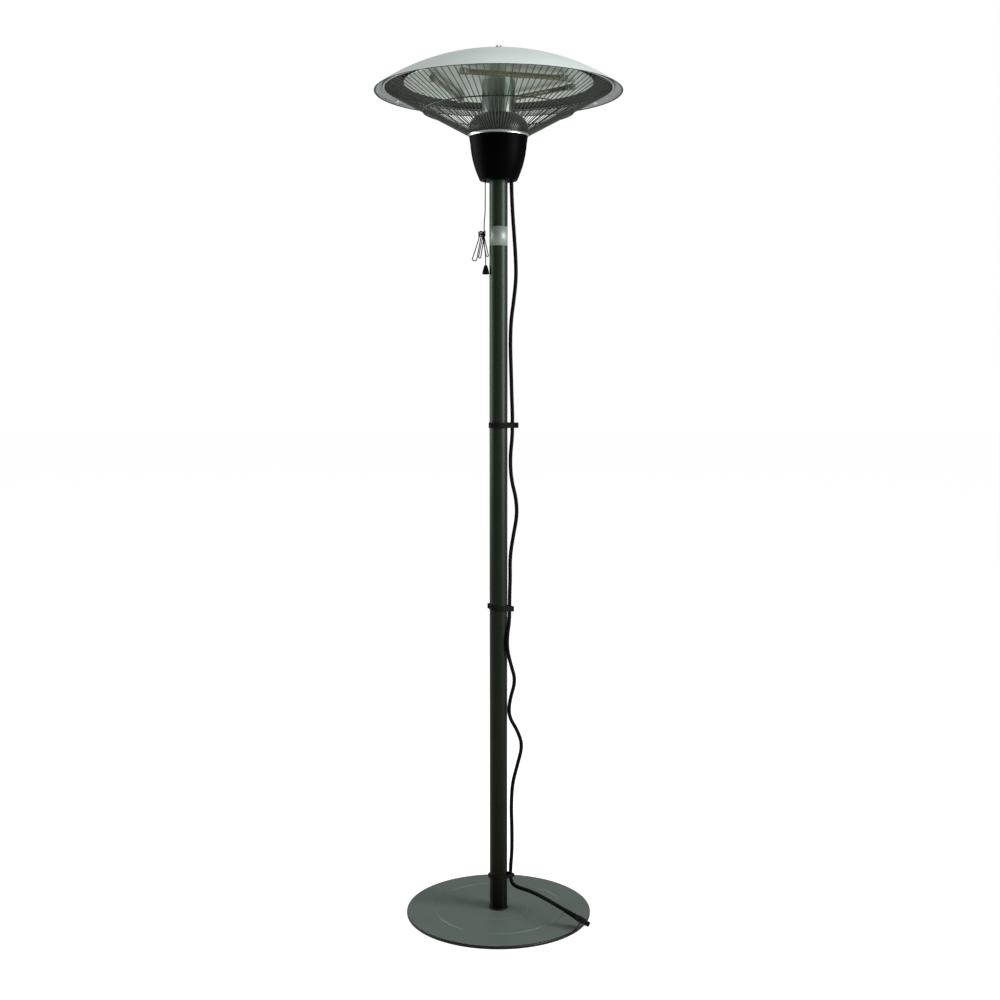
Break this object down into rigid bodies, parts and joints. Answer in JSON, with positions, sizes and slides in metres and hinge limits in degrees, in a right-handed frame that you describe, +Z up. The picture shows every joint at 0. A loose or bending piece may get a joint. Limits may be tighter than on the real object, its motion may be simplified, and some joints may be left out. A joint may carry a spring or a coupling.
{
  "type": "patio heater",
  "caption": "free-standing infrared patio heater: dished canopy over quartz lamps in a conical wire guard, on a tall pole with a round base, pull switch and power cord",
  "frame": {"origin": "centre of the underside of the base, on the floor", "axes": "+Z up along the pole; the front, which the picture shows, faces -Y; +X is to the right in the picture"},
  "size_m": [0.5784, 0.5784, 2.0774],
  "materials": {
    "black_cord": "matte",
    "black_housing": "satin",
    "black_plastic": "satin",
    "black_rubber": "satin",
    "black_webbing": "matte",
    "brass": "satin",
    "bright_steel": "polished",
    "canopy_steel": "satin",
    "dark_cap": "satin",
    "dark_sheet": "satin",
    "filament": "rough",
    "grey_paint": "satin",
    "guard_wire": "satin",
    "iron": "rough",
    "polished_aluminium": "polished",
    "quartz": "polished",
    "white_plastic": "satin",
    "zinc_steel": "satin"
  },
  "bodies": {
    "heater": {"base_bolt": "zinc_steel", "base_cover": "grey_paint", "base_feet": "black_rubber", "base_washer": "zinc_steel", "base_weight": "iron", "canopy": "canopy_steel", "canopy_spacer": "zinc_steel", "canopy_washer": "zinc_steel", "cap_nut": "bright_steel", "center_stud": "zinc_steel", "clamp_plate": "zinc_steel", "cord_grommet": "black_rubber", "cord_strap_bottom": "black_webbing", "cord_strap_middle": "black_webbing", "cord_strap_top": "black_webbing", "guard_bottom_ring": "bright_steel", "guard_clips": "zinc_steel", "guard_middle_ring": "guard_wire", "guard_top_ring": "bright_steel", "guard_wires": "guard_wire", "hub_cone": "dark_sheet", "hub_plate": "zinc_steel", "lamp_brackets": "dark_sheet", "lamp_caps": "dark_cap", "lamp_filaments": "filament", "lamp_front": "quartz", "lamp_left": "quartz", "lamp_right": "quartz", "lead_bundle": "black_plastic", "neck_column": "zinc_steel", "plug_body": "black_plastic", "plug_pins": "brass", "plug_relief": "black_rubber", "pole_foot": "grey_paint", "pole_foot_plug": "zinc_steel", "pole_foot_ring": "black_rubber", "pole_lower": "grey_paint", "pole_middle": "grey_paint", "pole_upper": "grey_paint", "post": "polished_aluminium", "power_cord": "black_rubber", "pull_cord_bush": "black_plastic", "reflector": "polished_aluminium", "stud_nut": "zinc_steel", "switch_frame": "zinc_steel", "switch_housing": "black_housing", "switch_pins": "zinc_steel", "switch_spring": "zinc_steel", "terminal_block": "white_plastic", "tilt_switch": "black_plastic"},
    "pull": {"switch_plunger": "white_plastic", "pull_cord_upper": "black_cord", "pull_cord_hank": "black_cord", "pull_cord_tie": "black_cord", "pull_cord_tail": "black_cord", "pull_knob": "black_plastic"},
    "lever": {"switch_lever": "zinc_steel"},
    "ratchet": {"ratchet_wheel": "white_plastic"}
  },
  "joints": [
    {"name": "pull_slide", "type": "slide", "parent": "heater", "child": "pull", "axis": [0, 0, -1], "range_m": [0, 0.01], "stiffness_N_per_m": 400, "springref_m": -0.004, "deforming": ["switch_spring"]},
    {"name": "lever_turn", "type": "hinge", "parent": "heater", "child": "lever", "pos_m": [-0.042, 0, 1.816], "axis": [0, 1, 0], "range_deg": [0, 34.4]},
    {"name": "ratchet_turn", "type": "hinge", "parent": "heater", "child": "ratchet", "pos_m": [-0.0375, 0, 1.832], "axis": [0, 1, 0], "continuous": true}
  ],
  "couplings": [
    {"joint": "lever_turn", "follows": "pull_slide", "rad_per_m": 60}
  ]
}
